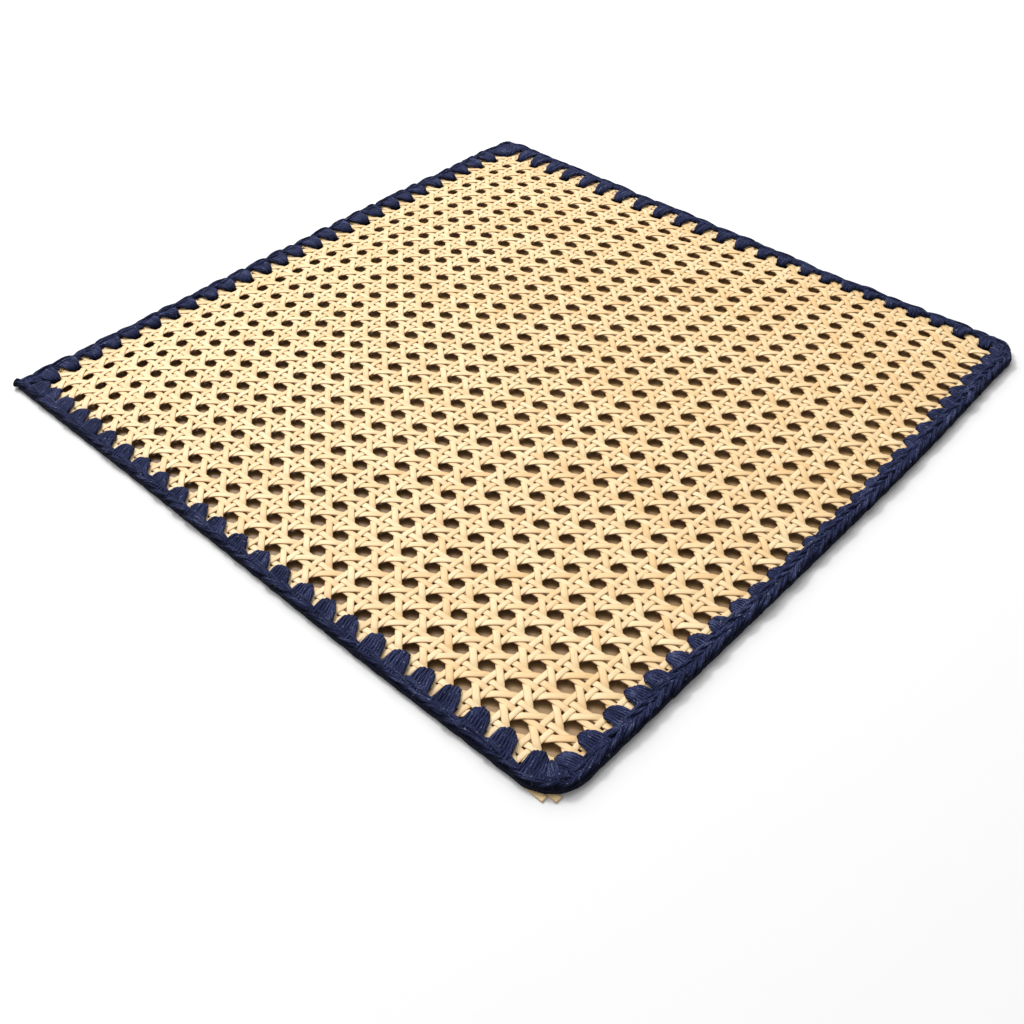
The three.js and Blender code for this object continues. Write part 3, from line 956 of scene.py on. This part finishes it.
# The cane tips at the near left corner: two blunt strand ends that the yarn doesn't cover. They
# lie flat under the edging and stick out a little. Each has its place, its end and its width.
TIPS = ((-182.6, -177.6, 3.1), (-179.2, -181.5, 3.5))
TIP_LENGTH = 13
TIP_POINTS = 24
TIP_SLOPE = 0.02
TIP_HEIGHT = 0.6
TIP_TONE = 0.5
tips = []
along = np.linspace(0, TIP_LENGTH, TIP_POINTS)
for x, end, width in TIPS:
    line = np.stack([x + along * TIP_SLOPE, end + along, TIP_HEIGHT + along * TIP_SLOPE], axis=1)
    tips.append((line, np.full(TIP_POINTS, width), TIP_TONE))
cane_tips = cane_piece("cane_tips", tips)
dress(cane_tips, "cane_panel", cane_finish("cane_tips", (0.95, 0.93, 0.9), 0.0))


# The floor: a plain pale surface that the mat lies on, without a pattern. It's large enough to fill
# the photo's view.
FLOOR_HALF = 4000


def flat_piece(name, corners, material):
    """A flat piece with those corners in millimetres."""
    mesh = bpy.data.meshes.new(name)
    mesh.from_pydata([Vector(corner) * MM for corner in corners], [], [tuple(range(len(corners)))])
    mesh.materials.append(material)
    piece = bpy.data.objects.new(name, mesh)
    bpy.context.scene.collection.objects.link(piece)
    return piece


pale, tree, shader = new_finish("floor")
shader.inputs["Base Color"].default_value = (0.8, 0.8, 0.8, 1)
shader.inputs["Roughness"].default_value = 0.8
ends = ((-1, -1), (1, -1), (1, 1), (-1, 1))
floor = flat_piece("floor", [(x * FLOOR_HALF, y * FLOOR_HALF, 0) for x, y in ends], pale)


# The ground under the webbing: a warm brown board that shows only through the eyes, as it does in
# the photo. Its browns are partly its own colour and partly painted shade under the webbing, and it
# has painted light: lighter to the right and in a pool of light by the near left corner. It ends under
# the edging, so that the floor around the mat stays pale.
PATCH_INSIDE = 4.5
PATCH_HEIGHT = 0.05
PATCH_POINTS = 240
# Painted light on the board: how much lighter it gets to the right, and a pool of light by the near left
# corner, within these distances in metres and by this much.
PAINTED_LIGHT_TO_THE_RIGHT = 1.7
NEAR_LEFT = (-0.18, -0.18, 0)
PAINTED_LIGHT_WITHIN = (0.03, 0.1)
PAINTED_LIGHT_BY = 0.45
# The board's browns: partly its own colour, partly painted shade under the webbing.
BOARD_BROWNS = ((0.1, (0.165, 0.085, 0.028)), (0.9, (0.42, 0.255, 0.1)))
brown, tree, shader = new_finish("patch")
place = place_on(tree)
right = split(tree, place)["X"]
# Painted light: the board lighter to the right, and in a painted pool of light by the near left corner.
level = worked_out(tree, "MULTIPLY_ADD", right, PAINTED_LIGHT_TO_THE_RIGHT, grain(tree, place, 14, 4))
from_corner = tree.nodes.new("ShaderNodeVectorMath")
from_corner.operation = "DISTANCE"
from_corner.inputs[1].default_value = NEAR_LEFT
tree.links.new(place, from_corner.inputs[0])
painted_light = stretched(tree, from_corner.outputs["Value"], PAINTED_LIGHT_WITHIN, (PAINTED_LIGHT_BY, 0.0))
colour = ramp(tree, worked_out(tree, "ADD", level, painted_light), BOARD_BROWNS)
tree.links.new(colour, shader.inputs["Base Color"])
shader.inputs["Roughness"].default_value = 0.5
point, inward = rim_at(np.linspace(0, ROUND_IT, PATCH_POINTS, endpoint=False))
patch = flat_piece("patch", [(x, y, PATCH_HEIGHT) for x, y in point + inward * PATCH_INSIDE], brown)


# Light: a pale surround, one large soft lamp from above and behind, a little to the right, and a
# small one that gives the cane its glint.
def soft_lamp(name, shape, size, watts, place):
    """An area lamp that faces the middle of the mat and that the camera doesn't see."""
    light = bpy.data.lights.new(name, "AREA")
    light.shape = shape
    light.size = size[0]
    light.size_y = size[1]
    light.energy = watts
    lamp = bpy.data.objects.new(name, light)
    lamp.location = place
    lamp.rotation_euler = (Vector((0, 0, 0)) - lamp.location).to_track_quat("-Z", "Y").to_euler()
    lamp.visible_camera = False
    bpy.context.scene.collection.objects.link(lamp)


soft_lamp("key", "RECTANGLE", (4.0, 3.2), 99.0, (0.6, 1.75, 2.3))
soft_lamp("glint", "DISK", (0.4, 0.4), 13.5, (0.15, 1.05, 1.3))
world = bpy.data.worlds.new("studio")
bpy.context.scene.world = world
world.use_nodes = True
world.node_tree.nodes["Background"].inputs["Color"].default_value = (1.0, 1.0, 1.0, 1)
world.node_tree.nodes["Background"].inputs["Strength"].default_value = 0.42
bpy.context.scene.view_settings.view_transform = "Standard"


# Camera: above the mat and outside its near left corner, as in the photo. It's aimed at a place on
# the mat, and turned a little about its own axis.
CAMERA_AT = Vector((-352.13, -324.57, 351.48))
LOOKS_AT = Vector((-83.65, -69.47, 2.8))
ROLL = math.radians(-0.763)
view = bpy.data.cameras.new("photo_view")
view.sensor_width = 36.0
view.lens = 40.117
view.clip_start = 0.01
view.clip_end = 20.0
camera = bpy.data.objects.new("photo_view", view)
camera.location = CAMERA_AT * MM
aim = LOOKS_AT * MM
turned = (aim - camera.location).to_track_quat("-Z", "Y").to_matrix()
camera.rotation_euler = (turned @ Matrix.Rotation(ROLL, 3, "Z")).to_euler()
bpy.context.scene.collection.objects.link(camera)
bpy.context.scene.camera = camera
